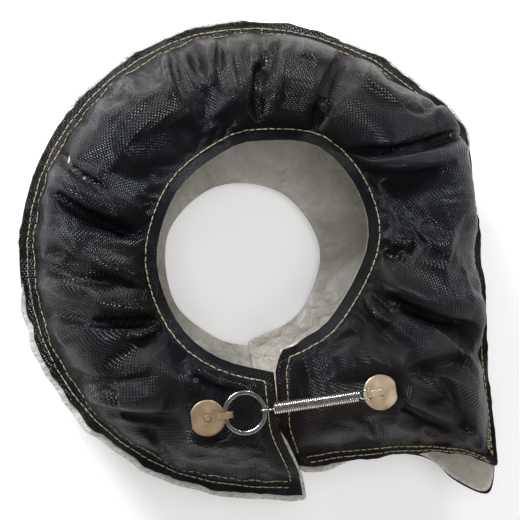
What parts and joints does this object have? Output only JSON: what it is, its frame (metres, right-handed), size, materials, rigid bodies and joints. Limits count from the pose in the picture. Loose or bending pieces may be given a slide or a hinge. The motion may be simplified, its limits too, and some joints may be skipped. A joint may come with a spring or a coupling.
{
  "type": "turbocharger heat blanket",
  "caption": "Padded snail-shaped heat blanket for a turbine housing, open at the middle and at the inlet, held shut by a coil spring and a split ring.",
  "frame": {"origin": "on the ground under the middle of the blanket's box", "axes": "the blanket lies on its rear face: +Z out of its front face, +X to the right and +Y up across the front, with the slit and the inlet's mouth at -Y"},
  "size_m": [0.25, 0.251, 0.0785],
  "materials": {
    "black_cloth": "black coated woven cloth, semi-gloss, finely woven",
    "silver_cloth": "silver-grey coated lining, crinkled",
    "wool": "off-white mineral wool",
    "thread": "pale yellow aramid thread",
    "plated_steel": "stamped steel, satin",
    "bright_wire": "bright spring wire"
  },
  "bodies": {
    "blanket": {"front_cover": "black_cloth", "front_fill": "wool", "front_lining": "silver_cloth", "rear_cover": "black_cloth", "rear_fill": "wool", "rear_lining": "silver_cloth", "front_hole_stitching": "thread", "front_mouth_stitching": "thread", "outer_seam_inner_row": "thread", "outer_seam_outer_row": "thread", "rear_hole_stitching": "thread", "rear_mouth_stitching": "thread", "left_hook_stud": "plated_steel", "left_hook": "plated_steel", "left_lock_disc": "plated_steel", "right_hook_stud": "plated_steel", "right_hook": "plated_steel", "right_lock_disc": "plated_steel", "tension_spring": "bright_wire"},
    "ring": {"split_ring": "bright_wire"}
  },
  "joints": [
    {"name": "ring_pull", "type": "slide", "parent": "blanket", "child": "ring", "axis": [-0.9901, -0.1405, 0], "range_m": [0, 0.007], "stiffness_N_per_m": 1100, "springref_m": -0.006, "deforming": ["tension_spring"]}
  ]
}
